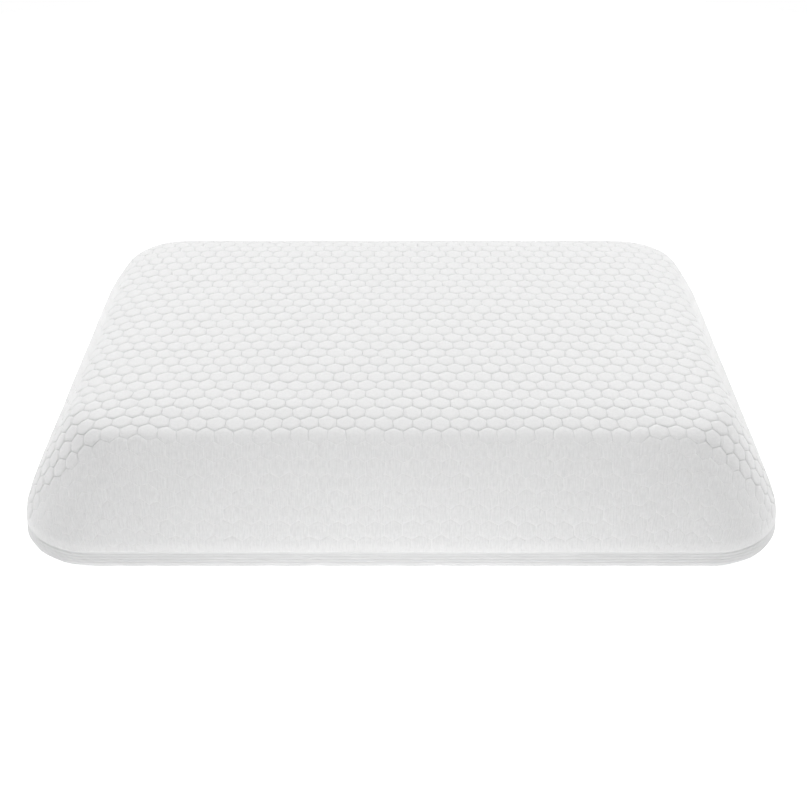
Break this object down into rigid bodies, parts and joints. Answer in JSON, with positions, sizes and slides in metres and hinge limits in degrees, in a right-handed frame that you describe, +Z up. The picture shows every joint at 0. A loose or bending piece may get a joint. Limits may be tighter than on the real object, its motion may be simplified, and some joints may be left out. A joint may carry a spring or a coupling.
{
  "type": "bed pillow",
  "caption": "Loaf-shaped foam bed pillow in a quilted honeycomb-knit cover with a plain bottom panel and a sliding zip along the back seam.",
  "frame": {"origin": "centre of the foot of the object's box, on the face the pillow rests on", "axes": "+X along the long side toward the closed end of the zip, +Y toward the back where the zip is, +Z up through the sleeping surface"},
  "size_m": [0.6084, 0.4197, 0.1147],
  "materials": {
    "foam": "matt open-cell foam",
    "liner_jersey": "thin plain jersey",
    "honeycomb_knit": "puffy honeycomb double knit",
    "plain_knit": "smooth plain knit",
    "seam_thread": "overlocked thread",
    "zip_tape": "woven tape",
    "zip_teeth": "moulded nylon",
    "zip_metal": "white enamel on die-cast zinc"
  },
  "bodies": {
    "pillow": {"foam_core": "foam", "inner_liner": "liner_jersey", "cover_top_panel": "honeycomb_knit", "cover_bottom_panel": "plain_knit", "seam_overlock": "seam_thread", "zip_tape_upper": "zip_tape", "zip_tape_lower": "zip_tape", "zip_teeth_upper": "zip_teeth", "zip_teeth_lower": "zip_teeth", "zip_top_stop_upper": "zip_metal", "zip_top_stop_lower": "zip_metal", "zip_bottom_stop": "zip_metal"},
    "zip_slider": {"zip_slider": "zip_metal"},
    "zip_pull": {"zip_pull_tab": "zip_metal"}
  },
  "joints": [
    {"name": "zip_slide", "type": "slide", "parent": "pillow", "child": "zip_slider", "axis": [-1, 0, 0], "range_m": [0, 0.4]},
    {"name": "pull_tab_hinge", "type": "hinge", "parent": "zip_slider", "child": "zip_pull", "pos_m": [0.2003, 0.20835, 0.02851], "axis": [0, 0.2045, -0.9789], "range_deg": [0, 180]}
  ]
}
